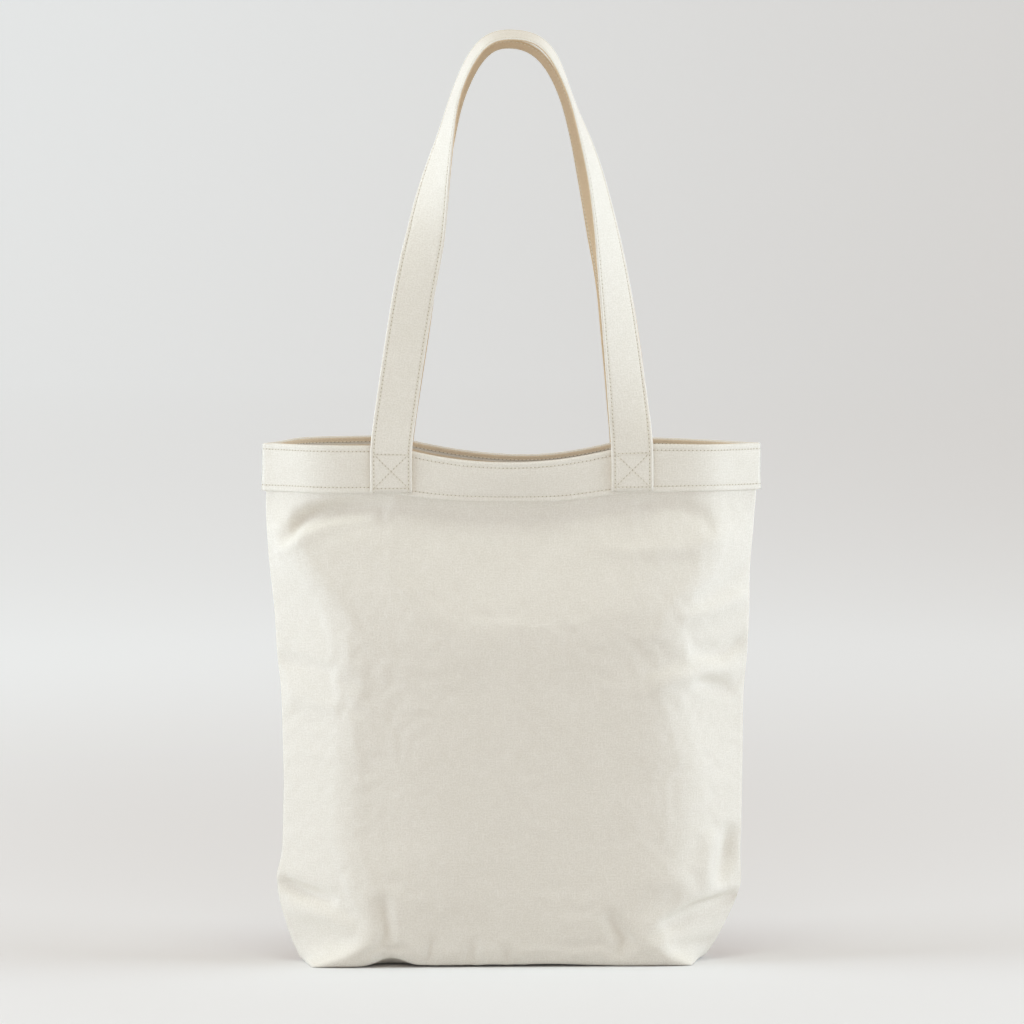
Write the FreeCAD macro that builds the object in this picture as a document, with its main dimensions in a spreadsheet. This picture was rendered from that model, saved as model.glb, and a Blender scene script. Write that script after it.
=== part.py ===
"""Canvas tote bag: two canvas panels sewn into a shell with a boxed bottom, a hem band round the mouth,
and two long shoulder handles whose ends are box-stitched over the band.

Millimetres, +Z up, origin on the floor under the middle of the base. The front panel faces -Y.
"""

import FreeCAD, Part
import Sketcher
import math
import os

V = FreeCAD.Vector

# Driving dimensions in millimetres and degrees. A depth runs from the middle of the bag to the outer face
# of the canvas, and a half width from the middle to the side seam.
SIZES = {
    "cloth": 1.0,
    "strap_thick": 2.4,
    "thread": 0.4,
    "thread_wide": 0.8,
    "seam_ratio": 1.6,          # how much faster a layer grows at the side seam than on the flat
    # outline of the shell at five levels: height, seam half width, flat front, depth, fold radius
    "base_level": 0.0, "base_half": 155.0, "base_flat": 134.0, "base_depth": 45.0, "base_fold": 18.0,
    "heel_level": 60.0, "heel_half": 178.0, "heel_flat": 138.0, "heel_depth": 49.0, "heel_fold": 30.0,
    "belly_level": 200.0, "belly_half": 178.0, "belly_flat": 126.0, "belly_depth": 50.0,
    "belly_fold": 42.0,
    "chest_level": 310.0, "chest_half": 185.0, "chest_flat": 118.0, "chest_depth": 45.0,
    "chest_fold": 52.0,
    "rim_level": 350.0, "rim_half": 190.0, "rim_flat": 114.0, "rim_depth": 38.0, "rim_fold": 60.0,
    # the mouth, its dip between the handles, and the hem band
    "height": 400.0,
    "dip": 13.0,
    "dip_half": 92.0,
    "band_height": 35.0,
    "upper_row": 3.5,           # rows of stitches, down from the rim
    "lower_row": 31.0,
    # handles
    "strap_width": 32.0,
    "strap_offset": 92.0,       # from the middle of the bag to the middle of a sewn end
    "fold_room": 1.2,           # a sewn end stops this far below the fold line, a handle above it
    "fold_out": 0.6,            # how far the fold line lies outside the sewn ends
    "front_drop": 313.0,        # from the fold line to the middle of a handle's crown
    "back_drop": 306.0,
    "crown_reach": 16.8,        # from the middle of the bag to the middle of a crown
    "crown_turn": 80.0,         # how far a crown has turned from facing front
    "edge_inset": 3.0,          # rows of stitches along a strap, in from its edges
    "thread_lift": 0.12,        # daylight between a handle and the thread along it
    "box_inset": 3.5,           # the box of stitches, in from the ends of the sewn end
    # seam allowances on the inside
    "seam_wide": 8.0,
    "seam_thick": 2.4,
    "seam_start": 12.0,
    "bottom_seam_half": 134.0,
    "corner_seam_at": 138.0,
    "corner_seam_half": 28.0,
    "reach": 300.0,             # the cutting blocks run this far from the middle
}
LEVELS = ["base", "heel", "belly", "chest", "rim"]
SIDES = {"front": -1, "back": 1}
HANDS = {"left": -1, "right": 1}
# Each leg of a handle: the exponent of its half arch, and the heights between which it turns.
LEGS = {
    ("front", "left"): (2.2, 100.0, 285.0),
    ("front", "right"): (3.5, -70.0, 300.0),
    ("back", "left"): (2.1, 85.0, 255.0),
    ("back", "right"): (2.85, 100.0, 285.0),
}
TWIST_FREE = 30.0               # height above the rim over which a handle starts to turn
STATIONS = 40                   # cross-sections along each leg of a handle

doc = FreeCAD.newDocument("ToteBag")
sheet = doc.addObject("Spreadsheet::Sheet", "Sizes")
for row, (alias, value) in enumerate(SIZES.items(), start=1):
    sheet.set(f"A{row}", alias)
    sheet.set(f"B{row}", str(value))
    sheet.setAlias(f"B{row}", alias)
doc.recompute()


def size(expression):
    """Value of an expression over the sheet's cells, written as it is for setExpression."""
    return float(sheet.evalExpression(expression.replace("Sizes.", "")))


def bind(item, **expressions):
    for key, expression in expressions.items():
        item.setExpression(key, expression)
    return item


def place(item, **axes):
    """Bind the position of an object: place(item, x="...", z="...")."""
    for axis, expression in axes.items():
        item.setExpression(f".Placement.Base.{axis}", expression)
    return item


def block(name, start, lengths):
    """Box from its lowest corner and its three lengths, all expressions."""
    box = bind(doc.addObject("Part::Box", name), Length=lengths[0], Width=lengths[1], Height=lengths[2])
    return place(box, x=start[0], y=start[1], z=start[2])


def cut(name, base, tool):
    item = doc.addObject("Part::Cut", name)
    item.Base = base
    item.Tool = tool
    return item


def common(name, *shapes):
    item = doc.addObject("Part::MultiCommon", name)
    item.Shapes = list(shapes)
    return item


def fuse(name, *shapes):
    item = doc.addObject("Part::MultiFuse", name)
    item.Shapes = list(shapes)
    return item


# ---------------------------------------------------------------- the shell

def outline(name, level, offset):
    """Closed sketch of the bag's outline at one level, moved outward by offset.

    Each quarter is a straight run in from the side seam, a round fold and half of the flat front.
    """
    terms = {
        "half": f"Sizes.{level}_half + ({offset}) * Sizes.seam_ratio",
        "flat": f"Sizes.{level}_flat",
        "depth": f"Sizes.{level}_depth + ({offset})",
        "fold": f"Sizes.{level}_fold + ({offset})",
    }
    half, flat, depth, fold = (size(term) for term in terms.values())
    rise = depth - fold
    angle = math.atan2(rise, half - flat) - math.acos(fold / math.hypot(half - flat, rise))
    tip_x = flat + fold * math.cos(angle)
    tip_y = rise - fold * math.sin(angle)

    sketch = doc.addObject("Sketcher::SketchObject", name)

    def line(x1, y1, x2, y2):
        return sketch.addGeometry(Part.LineSegment(V(x1, y1, 0), V(x2, y2, 0)), False)

    def arc(x, y, start, end):
        circle = Part.Circle(V(x, y, 0), V(0, 0, 1), fold)
        return sketch.addGeometry(Part.ArcOfCircle(circle, start, end), False)

    quarter = math.pi / 2
    edges = [
        line(-half, 0, -tip_x, -tip_y),
        arc(-flat, -rise, 2 * quarter - angle, 3 * quarter),
        line(-flat, -depth, flat, -depth),
        arc(flat, -rise, -quarter, angle),
        line(tip_x, -tip_y, half, 0),
        line(half, 0, tip_x, tip_y),
        arc(flat, rise, -angle, quarter),
        line(flat, depth, -flat, depth),
        arc(-flat, rise, quarter, 2 * quarter + angle),
        line(-tip_x, tip_y, -half, 0),
    ]
    seams = (4, 9)

    def link(kind, *items):
        return sketch.addConstraint(Sketcher.Constraint(kind, *items))

    for i, edge in enumerate(edges):
        following = edges[(i + 1) % len(edges)]
        link("Coincident" if i in seams else "Tangent", edge, 2, following, 1)
    left_front, arc_1, front, arc_2, right_front, _, arc_3, back, arc_4, _ = edges
    link("PointOnObject", right_front, 2, -1)
    link("Symmetric", left_front, 1, right_front, 2, -2)
    link("Symmetric", front, 1, front, 2, -2)
    link("Symmetric", front, 2, back, 1, -1)
    link("Symmetric", back, 1, back, 2, -2)
    for other in (arc_1, arc_3, arc_4):
        link("Equal", arc_2, other)
    numbered = {
        "half": link("DistanceX", -1, 1, right_front, 2, half),
        "flat": link("DistanceX", -1, 1, front, 2, flat),
        "depth": link("DistanceY", front, 2, -1, 1, depth),
        "fold": link("Radius", arc_2, fold),
    }
    for key, index in numbered.items():
        sketch.renameConstraint(index, key)
        sketch.setExpression(f"Constraints.{key}", terms[key])
    return sketch


def hull(layer, offset, floor="0"):
    """Solid of everything inside one layer of cloth: a loft up to the rim level and a straight collar."""
    sections = []
    for level in LEVELS:
        sketch = outline(f"{layer}_{level}", level, offset)
        lift = f" + ({floor})" if level == "base" else ""
        sections.append(place(sketch, z=f"Sizes.{level}_level{lift}"))
    body = doc.addObject("Part::Loft", f"{layer}_body")
    body.Sections = sections
    body.Solid = True
    collar = doc.addObject("Part::Extrusion", f"{layer}_collar")
    collar.Base = sections[-1]
    collar.Dir = V(0, 0, 1)
    collar.Solid = True
    bind(collar, LengthFwd="Sizes.height - Sizes.rim_level")
    return fuse(f"{layer}_hull", body, collar)


def below_rim(name, drop):
    """Everything lower than the rim line moved down by drop; the line dips between the handles."""
    slab = block(
        f"{name}_slab",
        ("-Sizes.reach", "-Sizes.reach", "-Sizes.reach"),
        ("2 * Sizes.reach", "2 * Sizes.reach", f"Sizes.height - ({drop}) + Sizes.reach"),
    )
    radius = "(Sizes.dip_half ^ 2 + Sizes.dip ^ 2) / (2 * Sizes.dip)"
    drum = bind(doc.addObject("Part::Cylinder", f"{name}_drum"), Radius=radius, Height="2 * Sizes.reach")
    drum.Placement.Rotation = FreeCAD.Rotation(V(1, 0, 0), 90)
    place(drum, y="Sizes.reach", z=f"Sizes.height - Sizes.dip + {radius} - ({drop})")
    return cut(name, slab, drum)


lining = hull("lining", "-Sizes.cloth", floor="Sizes.cloth")
canvas = hull("canvas", "0")
hem = hull("hem", "Sizes.cloth")
thread = hull("thread", "Sizes.cloth + Sizes.thread")
allowance = hull("allowance", "-Sizes.cloth - Sizes.seam_wide / Sizes.seam_ratio", floor="Sizes.cloth")

mouth = below_rim("mouth", "0")
shell = common("shell", cut("canvas_wall", canvas, lining), mouth)
below_band = below_rim("below_band", "Sizes.band_height")
band = cut("band", common("band_ring", cut("hem_wall", hem, canvas), mouth), below_band)

halves = {
    side: block(
        f"{side}_half",
        ("-Sizes.reach", "-Sizes.reach" if side == "front" else "0", "-Sizes.reach"),
        ("2 * Sizes.reach", "Sizes.reach", "3 * Sizes.reach"),
    )
    for side in SIDES
}
parts = {}
for side in SIDES:
    parts[f"{side}_panel"] = common(f"{side}_panel_half", shell, halves[side])
    parts[f"{side}_hem_band"] = common(f"{side}_band_half", band, halves[side])


# ------------------------------------------------- sewn ends of the handles

BAND_FACE = "(Sizes.rim_depth + Sizes.cloth)"
END_FACE = "(Sizes.rim_depth + Sizes.cloth + Sizes.strap_thick)"
END_BOTTOM = "(Sizes.height - Sizes.band_height)"
END_LENGTH = "(Sizes.band_height - Sizes.fold_room)"


def facing(side, face, thick):
    """Lowest y of something of this thickness that lies on a face, on one side of the bag."""
    return face if side == "back" else f"-({face} + {thick})"


def sewn_end(side, hand):
    """End of a handle, lying flat on the hem band."""
    middle = f"{HANDS[hand]} * Sizes.strap_offset"
    return block(
        f"{side}_{hand}_end",
        (f"{middle} - Sizes.strap_width / 2", facing(side, BAND_FACE, "Sizes.strap_thick"), END_BOTTOM),
        ("Sizes.strap_width", "Sizes.strap_thick", END_LENGTH),
    )


def box_stitching(side, hand):
    """A box of thread with a cross in it, on the face of a sewn end."""
    name = f"{side}_{hand}_box"
    wide = "(Sizes.strap_width - 2 * Sizes.edge_inset)"
    tall = f"({END_LENGTH} - 2 * Sizes.box_inset)"
    left = f"({HANDS[hand]} * Sizes.strap_offset - {wide} / 2)"
    low = f"({END_BOTTOM} + Sizes.box_inset)"
    y = facing(side, END_FACE, "Sizes.thread")
    thread_wide = "Sizes.thread_wide"
    runs = []
    for end, z in (("low", low), ("high", f"{low} + {tall} - {thread_wide}")):
        runs.append(block(f"{name}_{end}", (left, y, z), (wide, "Sizes.thread", thread_wide)))
    for end, x in (("start", left), ("finish", f"{left} + {wide} - {thread_wide}")):
        runs.append(block(f"{name}_{end}", (x, y, low), (thread_wide, "Sizes.thread", tall)))
    frame = block(f"{name}_frame", (left, y, low), (wide, "Sizes.thread", tall))
    crosses = []
    for end, z, turn in (("rising", low, -1), ("falling", f"{low} + {tall}", 1)):
        run = block(f"{name}_{end}", (left, y, z), (f"sqrt({wide} ^ 2 + {tall} ^ 2)",
                                                    "Sizes.thread", thread_wide))
        run.Placement.Rotation = FreeCAD.Rotation(V(0, 1, 0), 1)
        run.setExpression(".Placement.Rotation.Angle", f"{turn} * atan({tall} / {wide})")
        crosses.append(run)
    return fuse(f"{name}_thread", *runs, common(f"{name}_cross", fuse(f"{name}_pair", *crosses), frame))


for side in SIDES:
    for hand in HANDS:
        parts[f"{side}_{hand}_strap_end"] = sewn_end(side, hand)
        parts[f"{side}_{hand}_box_stitching"] = box_stitching(side, hand)


# ------------------------------------------- rows of stitches round the band

def stitch_row(name, drop):
    """Thread standing out of the band along the rim line, this far down from it."""
    above = below_rim(f"{name}_above", f"{drop} - Sizes.thread_wide / 2")
    under = below_rim(f"{name}_under", f"{drop} + Sizes.thread_wide / 2")
    ring = cut(f"{name}_ring", thread, hem)
    return cut(name, common(f"{name}_strip", ring, above), under)


strap_ends = [
    parts[f"{side}_{hand}_strap_end"] for side in SIDES for hand in HANDS
]
rows = {"upper": stitch_row("upper_line", "Sizes.upper_row"),
        "lower": stitch_row("lower_line", "Sizes.lower_row")}
for side in SIDES:
    for level, row in rows.items():
        half = common(f"{side}_{level}_half_row", row, halves[side])
        ends = fuse(f"{side}_{level}_ends", *strap_ends)
        parts[f"{side}_{level}_hem_stitching"] = cut(f"{side}_{level}_row", half, ends)


# ------------------------------------------------------- seams on the inside

seam_slab = block(
    "seam_slab",
    ("-Sizes.reach", "-Sizes.seam_thick / 2", "Sizes.seam_start"),
    ("2 * Sizes.reach", "Sizes.seam_thick", "Sizes.reach * 2"),
)
both_seams = common("both_seams", cut("seam_wall", lining, allowance), seam_slab, mouth)
for hand, sign in HANDS.items():
    side_block = block(
        f"{hand}_side",
        ("-Sizes.reach" if sign < 0 else "0", "-Sizes.reach", "-Sizes.reach"),
        ("Sizes.reach", "2 * Sizes.reach", "3 * Sizes.reach"),
    )
    parts[f"{hand}_side_seam"] = common(f"{hand}_seam", both_seams, side_block)
    parts[f"{hand}_corner_seam"] = block(
        f"{hand}_corner",
        (f"{sign} * Sizes.corner_seam_at - Sizes.seam_wide / 2 + {sign} * Sizes.seam_wide / 2",
         "-Sizes.corner_seam_half", "Sizes.cloth"),
        ("Sizes.seam_wide", "2 * Sizes.corner_seam_half", "Sizes.seam_thick"),
    )
parts["bottom_seam"] = block(
    "bottom",
    ("-Sizes.bottom_seam_half", "-Sizes.seam_wide / 2", "Sizes.cloth"),
    ("2 * Sizes.bottom_seam_half", "Sizes.seam_wide", "Sizes.seam_thick"),
)


# --------------------------------------------------------------- the handles

def smooth(low, high, value):
    """0 up to low, 1 from high on, and a smooth rise between them."""
    part = min(1.0, max(0.0, (value - low) / (high - low)))
    return part * part * (3 - 2 * part)


def strap_centre(side, turn):
    """Middle of a handle at turn, which runs from -90 at the left end over the crown to 90."""
    fullness = LEGS[side, "left" if turn < 0 else "right"][0]
    lean = abs(math.sin(math.radians(turn)))
    rise = max(0.0, 1 - lean ** 2)
    room = size("fold_room")
    drop = size(f"{side}_drop")
    start = size("rim_depth + cloth + strap_thick / 2")
    depth = start + (size("crown_reach") - start) * rise
    return V(
        math.copysign(size("strap_offset") * lean ** (2 / fullness), turn),
        SIDES[side] * depth,
        size("height") + room + (drop - room) * rise,
    )


def strap_frame(side, turn):
    """Middle of a handle, the direction across its width, and the outward normal of its face."""
    step = 0.01
    ahead = strap_centre(side, min(90.0, turn + step))
    along = (ahead - strap_centre(side, max(-90.0, turn - step))).normalize()
    facing_out = V(0, SIDES[side], 0)
    arch_out = facing_out.cross(along) * -SIDES[side]
    _, low, high = LEGS[side, "left" if turn < 0 else "right"]
    centre = strap_centre(side, turn)
    risen = centre.z - size("height")
    twist = math.radians(size("crown_turn")) * smooth(low, high, risen) * smooth(0, TWIST_FREE, risen)
    normal = (facing_out * math.cos(twist) + arch_out * math.sin(twist)).normalize()
    return centre, along.cross(normal).normalize(), normal


def ribbon(side, across, out, wide, thick):
    """Solid strip along a handle: its middle lies across and out from the middle of the handle."""
    wires = []
    for i in range(-STATIONS, STATIONS + 1):
        centre, width, normal = strap_frame(side, 90.0 * i / STATIONS)
        middle = centre + width * across + normal * out
        corners = [middle + width * (a * wide / 2) + normal * (b * thick / 2)
                   for a, b in ((-1, -1), (1, -1), (1, 1), (-1, 1))]
        wires.append(Part.makePolygon(corners + corners[:1]))
    return Part.makeLoft(wires, True, False)


def shaped(name, shape):
    item = doc.addObject("Part::Feature", name)
    item.Shape = shape
    return item


def handle(side):
    return shaped(f"{side}_loop", ribbon(side, 0, 0, size("strap_width"), size("strap_thick")))


def edge_stitching(side):
    """Rows of thread near both edges of a handle, on its outer and its inner face."""
    across = size("strap_width / 2 - edge_inset")
    out = size("strap_thick / 2 + thread_lift + thread / 2")
    runs = [
        ribbon(side, a * across, b * out, size("thread_wide"), size("thread"))
        for a in (-1, 1) for b in (-1, 1)
    ]
    return shaped(f"{side}_edges", Part.makeCompound(runs))


for side in SIDES:
    parts[f"{side}_handle"] = handle(side)
    parts[f"{side}_handle_stitching"] = edge_stitching(side)


# -------------------------------------------------------------------- output

for label, item in parts.items():
    item.Label = label
doc.recompute()
for item in doc.Objects:
    if "Invalid" in item.State or "Error" in item.State:
        raise RuntimeError(f"{item.Label} does not compute")
    shape = getattr(item, "Shape", None)
    if shape is not None and (shape.isNull() or not shape.isValid()):
        raise RuntimeError(f"{item.Label} has no valid shape")
os.makedirs("parts", exist_ok=True)
for label, item in parts.items():
    item.Shape.exportStep(f"parts/{label}.step")
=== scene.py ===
"""Canvas tote bag: its cloth, stitching, light and camera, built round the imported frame.

The shell is sculpted as one sewn sheet with the folds of a bag that stands part full, and settled by a
short cloth simulation. Band, handles, seams and stitches are then laid on the settled cloth.
Metres, +Z up, the front faces -Y.
"""

import math

import bmesh
import bpy
import numpy as np
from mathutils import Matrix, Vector


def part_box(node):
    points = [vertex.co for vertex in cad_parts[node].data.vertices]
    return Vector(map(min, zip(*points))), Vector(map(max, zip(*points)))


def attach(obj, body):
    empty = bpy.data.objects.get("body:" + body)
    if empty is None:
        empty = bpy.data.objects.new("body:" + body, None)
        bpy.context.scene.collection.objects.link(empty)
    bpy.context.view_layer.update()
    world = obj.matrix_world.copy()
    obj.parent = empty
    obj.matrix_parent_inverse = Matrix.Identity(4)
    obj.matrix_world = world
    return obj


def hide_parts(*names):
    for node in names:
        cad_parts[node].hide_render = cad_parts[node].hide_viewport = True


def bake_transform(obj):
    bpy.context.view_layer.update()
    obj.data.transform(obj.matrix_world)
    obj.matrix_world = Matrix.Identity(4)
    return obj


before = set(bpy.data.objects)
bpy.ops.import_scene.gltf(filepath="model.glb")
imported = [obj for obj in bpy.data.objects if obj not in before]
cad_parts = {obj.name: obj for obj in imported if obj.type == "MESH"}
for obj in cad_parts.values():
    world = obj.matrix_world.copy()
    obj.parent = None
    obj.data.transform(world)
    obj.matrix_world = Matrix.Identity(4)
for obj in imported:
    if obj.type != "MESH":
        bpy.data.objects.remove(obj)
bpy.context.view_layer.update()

MM = 0.001
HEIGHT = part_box("back_panel")[1].z
END_LOW, END_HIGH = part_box("back_right_strap_end")
STRAP_WIDTH = END_HIGH.x - END_LOW.x
STRAP_THICK = END_HIGH.y - END_LOW.y
STRAP_AT = (END_HIGH.x + END_LOW.x) / 2
BAND_FACE = END_LOW.y
BAND_HEIGHT = HEIGHT - END_LOW.z
RIM_DIP = HEIGHT - BAND_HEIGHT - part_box("back_hem_band")[0].z
CROWN_TOP = {side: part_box(f"{side}_handle")[1].z for side in ("front", "back")}
SIDES = {"front": -1, "back": 1}
HANDS = {"left": -1, "right": 1}

CLOTH = 0.9 * MM
FLAT_WIDE = 0.39                # a panel laid flat, from seam to seam
FLAT_WALL = 0.405               # and up its wall, with the turned edge
STITCH_PITCH = 3.0 * MM
THREAD = 0.6 * MM
UPPER_ROW = 3.6 * MM
LOWER_ROW = 31.0 * MM
EDGE_INSET = 2.8 * MM
RIGHT, BACK, UP = np.identity(3)


# --- helpers

def smooth(value, low, high):
    part = np.clip((value - low) / (high - low), 0.0, 1.0)
    return part * part * (3 - 2 * part)


def unit(rows):
    return rows / np.linalg.norm(rows, axis=-1, keepdims=True)


def travelled(path):
    """Distance along a path of points, at each point."""
    return np.concatenate([[0], np.cumsum([math.dist(a, b) for a, b in zip(path, path[1:])])])


def points_at(at, way, path):
    """Points of a path where way, a measure that grows along it, has the values in at."""
    return np.stack([np.interp(at, way, path[:, axis]) for axis in range(3)], axis=1)


def relaxed(rows, rounds):
    """Each inner row evened out with its neighbours, a number of times."""
    for _ in range(rounds):
        rows[1:-1] = 0.5 * rows[1:-1] + 0.25 * (rows[:-2] + rows[2:])
    return rows


def swept_faces(rings, around):
    """Faces of a tube of rings, each with the same number of points around, and its two ends."""
    faces = []
    for ring in range(rings - 1):
        for j in range(around):
            a, b = ring * around + j, ring * around + (j + 1) % around
            faces.append((a, b, b + around, a + around))
    end = range(around)
    return faces + [tuple(end)[::-1], tuple(i + (rings - 1) * around for i in end)]


def linked(name, data):
    """A new object in the scene."""
    item = bpy.data.objects.new(name, data)
    bpy.context.scene.collection.objects.link(item)
    return item


def mesh_object(name, points, faces, materials=(), face_material=None, uvs=None):
    """Mesh object; uvs is one (u, v) in metres per vertex, or per face corner as a list of lists."""
    mesh = bpy.data.meshes.new(name)
    mesh.from_pydata([tuple(p) for p in points], [], [tuple(f) for f in faces])
    mesh.update()
    for material in materials:
        mesh.materials.append(material)
    if face_material is not None:
        mesh.polygons.foreach_set("material_index", np.asarray(face_material, dtype=np.int32))
    if uvs is not None:
        layer = mesh.uv_layers.new(name="cloth")
        flat = np.asarray(uvs, dtype=float)
        if len(flat) == len(points):
            flat = flat[[loop.vertex_index for loop in mesh.loops]]
        layer.data.foreach_set("uv", flat.ravel())
    item = linked(name, mesh)
    mesh.polygons.foreach_set("use_smooth", np.ones(len(mesh.polygons), dtype=bool))
    mesh.update()
    return item


def closed(item):
    """Turns the faces of a closed mesh outwards."""
    mesh = bmesh.new()
    mesh.from_mesh(item.data)
    bmesh.ops.recalc_face_normals(mesh, faces=mesh.faces)
    mesh.to_mesh(item.data)
    mesh.free()
    return item


def weigh(item, name, weights):
    """Adds a vertex group with a weight for each vertex."""
    group = item.vertex_groups.new(name=name)
    for i, weight in enumerate(weights):
        group.add([i], float(weight), "REPLACE")


def apply_modifier(item, modifier):
    with bpy.context.temp_override(object=item, active_object=item, selected_objects=[item]):
        bpy.ops.object.modifier_apply(modifier=modifier.name)


# --- shape of the shell

# Outline of the front at each height, in millimetres: the side seams, and between them a fold and a
# shoulder on each hand, as (across, out). The fold is crisp and the shoulder is round.
FRONT_LEVELS = {
    # height: left seam, left fold, left shoulder, right shoulder, right fold, right seam
    400: (-190, (-150, -29), (-92, -38.5), (92, -38.5), (150, -29), 190),
    362: (-190, (-150, -29), (-92, -38.5), (92, -38.5), (150, -29), 189),
    346: (-190, (-168, -18), (-84, -37.5), (84, -38), (152, -28), 187),
    332: (-189, (-171, -27), (-70, -47), (78, -47), (156, -31), 186),
    313: (-188, (-162, -32), (-58, -52), (74, -52), (151, -34), 184),
    294: (-186, (-148, -38), (-50, -55.5), (80, -54), (142, -40), 183),
    275: (-184, (-136, -42), (-46, -57.5), (86, -54.5), (127, -48), 183),
    255: (-183, (-130, -44), (-46, -58), (92, -54), (121, -50), 182),
    236: (-182, (-128, -44), (-46, -57.5), (96, -53), (140, -38), 181),
    217: (-180, (-126, -43), (-46, -56), (92, -52), (119, -49), 179),
    198: (-179, (-126, -42), (-46, -55.5), (98, -51), (124, -45), 178),
    140: (-178, (-130, -38), (-46, -54), (104, -48), (138, -36), 177),
    100: (-179, (-130, -38), (-50, -52.5), (106, -47), (136, -37), 176),
    83: (-180, (-126, -41), (-54, -52), (108, -47), (132, -39), 175),
    66: (-185, (-120, -44), (-60, -51), (104, -48), (129, -43), 176),
    52: (-183, (-114, -47), (-70, -50), (96, -49), (142, -34), 175),
    36: (-179, (-108, -50), (-80, -47.5), (84, -49), (112, -47), 167),
    20: (-174, (-112, -51), (-90, -46.5), (86, -47), (104, -48), 159),
    8: (-169, (-134, -48), (-104, -46), (96, -46), (120, -46), 152),
    0: (-164, (-158, -41), (-70, -41.5), (70, -42), (138, -42), 143),
}
BACK_LEVELS = {
    height: (row[0], (-row[4][0] - 3, row[4][1]), (-row[3][0], row[3][1]),
             (-row[2][0], row[2][1]), (-row[1][0] - 4, row[1][1]), row[5])
    for height, row in FRONT_LEVELS.items()
}
BACK_LEVELS[0] = FRONT_LEVELS[0]
FOLD_REACH = 14.0
SHOULDER_REACH = 46.0
BASE_DEPTH = 45.0
GUSSET = 10
FRONT_CELLS = 66
ROWS = 91
AROUND = 2 * GUSSET + FRONT_CELLS
RIM_LEAN = 6.0
BACK_RISE = 2.6
FACET_OUT = 33.5
FACET_SLOPE = 0.27
FACET_TOP = 352.0
SETTLE_FRAMES = 14
SETTLE_CAP = 5 * MM
CLOTH_MEMORY = 0.35
ROW_HEIGHTS = np.linspace(0, HEIGHT, ROWS + 1)


def corners_at(table, height):
    """Corners of the outline at a height, eased between the table's rows."""
    heights = sorted(table)
    rows = np.array([
        [(row[0], 0.0), *row[1:5], (row[5], 0.0)] for row in (table[h] for h in heights)
    ], dtype=float).reshape(len(heights), 12)
    spread = np.linspace(-1, 1, 9) * min(8.0, height, 400 - height)
    weights = np.cos(np.linspace(-1, 1, 9) * 1.4)
    eased = [
        np.average(np.interp(height + spread, heights, column), weights=weights) for column in rows.T
    ]
    return np.array(eased).reshape(6, 2)


def rounded(corners, reaches):
    """Dense points along a line of corners, each rounded within its reach."""
    points = [corners[0]]
    t = np.linspace(0, 1, 18)[:, None]
    for before, corner, after, reach in zip(corners, corners[1:], corners[2:], reaches):
        to_before, to_after = before - corner, after - corner
        back, ahead = np.linalg.norm(to_before), np.linalg.norm(to_after)
        start = corner + to_before / back * min(reach, 0.48 * back)
        end = corner + to_after / ahead * min(reach, 0.48 * ahead)
        points.extend((1 - t) ** 2 * start + 2 * t * (1 - t) * corner + t ** 2 * end)
    points.append(corners[-1])
    return np.array(points)


def section(table, height):
    """Outline of one side at a height, from the left seam round to the right seam."""
    fold = FOLD_REACH * min(1.0, 0.1 + height / 30)
    return rounded(corners_at(table, height), (fold, SHOULDER_REACH, SHOULDER_REACH, fold))


def column_shares():
    """Where each column of cells stands, as a share of the way from seam to seam."""
    left, fold_left, _, _, fold_right, right = FRONT_LEVELS[0]
    gusset_l = math.dist((left, 0), fold_left)
    gusset_r = math.dist((right, 0), fold_right)
    front = fold_right[0] - fold_left[0]
    stops = np.concatenate([
        np.linspace(0, gusset_l, GUSSET + 1)[:-1],
        gusset_l + np.linspace(0, front, FRONT_CELLS + 1),
        gusset_l + front + np.linspace(0, gusset_r, GUSSET + 1)[1:],
    ])
    return stops / stops[-1]


def rim_drop(x):
    """How far the rim line dips below its full height at x millimetres."""
    half = STRAP_AT / MM
    dip = RIM_DIP / MM
    radius = (half ** 2 + dip ** 2) / (2 * dip)
    inside = np.clip(np.abs(x), 0, half)
    return dip - (radius - np.sqrt(radius ** 2 - inside ** 2)) + 2.0 * smooth(x, 90.0, 190.0)


def rim_share(height):
    """Share of the rim's dip that the cloth at a height follows; the band's middle is pressed shorter."""
    return 0.55 * smooth(height, 150.0, 350.0) + 0.45 * smooth(height, 362.0, 400.0)


def behind_facet(ys, height):
    """The front falls back flat above its widest level, so that the slack meets it in a shallow V."""
    facet = -(FACET_OUT + FACET_SLOPE * (FACET_TOP - height))
    cut = (ys + facet + np.hypot(ys - facet, 1.6)) / 2
    return cut + (ys - cut) * smooth(height, FACET_TOP - 2, 364.0)


def panel_grid(side):
    """Rows by columns of points of a panel, in millimetres, from the floor up, as if both faced front."""
    table = FRONT_LEVELS if side == "front" else BACK_LEVELS
    shares = column_shares()
    grid = np.zeros((ROWS + 1, AROUND + 1, 3))
    for row in range(ROWS + 1):
        height = 400.0 * row / ROWS
        points = section(table, height)
        along = travelled(points)
        xs = np.interp(shares * along[-1], along, points[:, 0])
        ys = np.interp(shares * along[-1], along, points[:, 1])
        if side == "front":
            ys = behind_facet(ys, height)
        dip = rim_drop(xs)
        if side == "back":
            dip -= BACK_RISE * smooth(xs, -190.0, -160.0) * (1 - smooth(xs, -60.0, 40.0))
        lean = RIM_LEAN * np.clip(1 - (xs / (STRAP_AT / MM - 20)) ** 2, 0, 1) ** 1.5
        ys -= lean * smooth(height, 340.0, 402.0) * (1 if side == "front" else -1.2)
        grid[row] = np.stack([xs, ys, height - dip * rim_share(height)], axis=1)
    return grid


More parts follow.
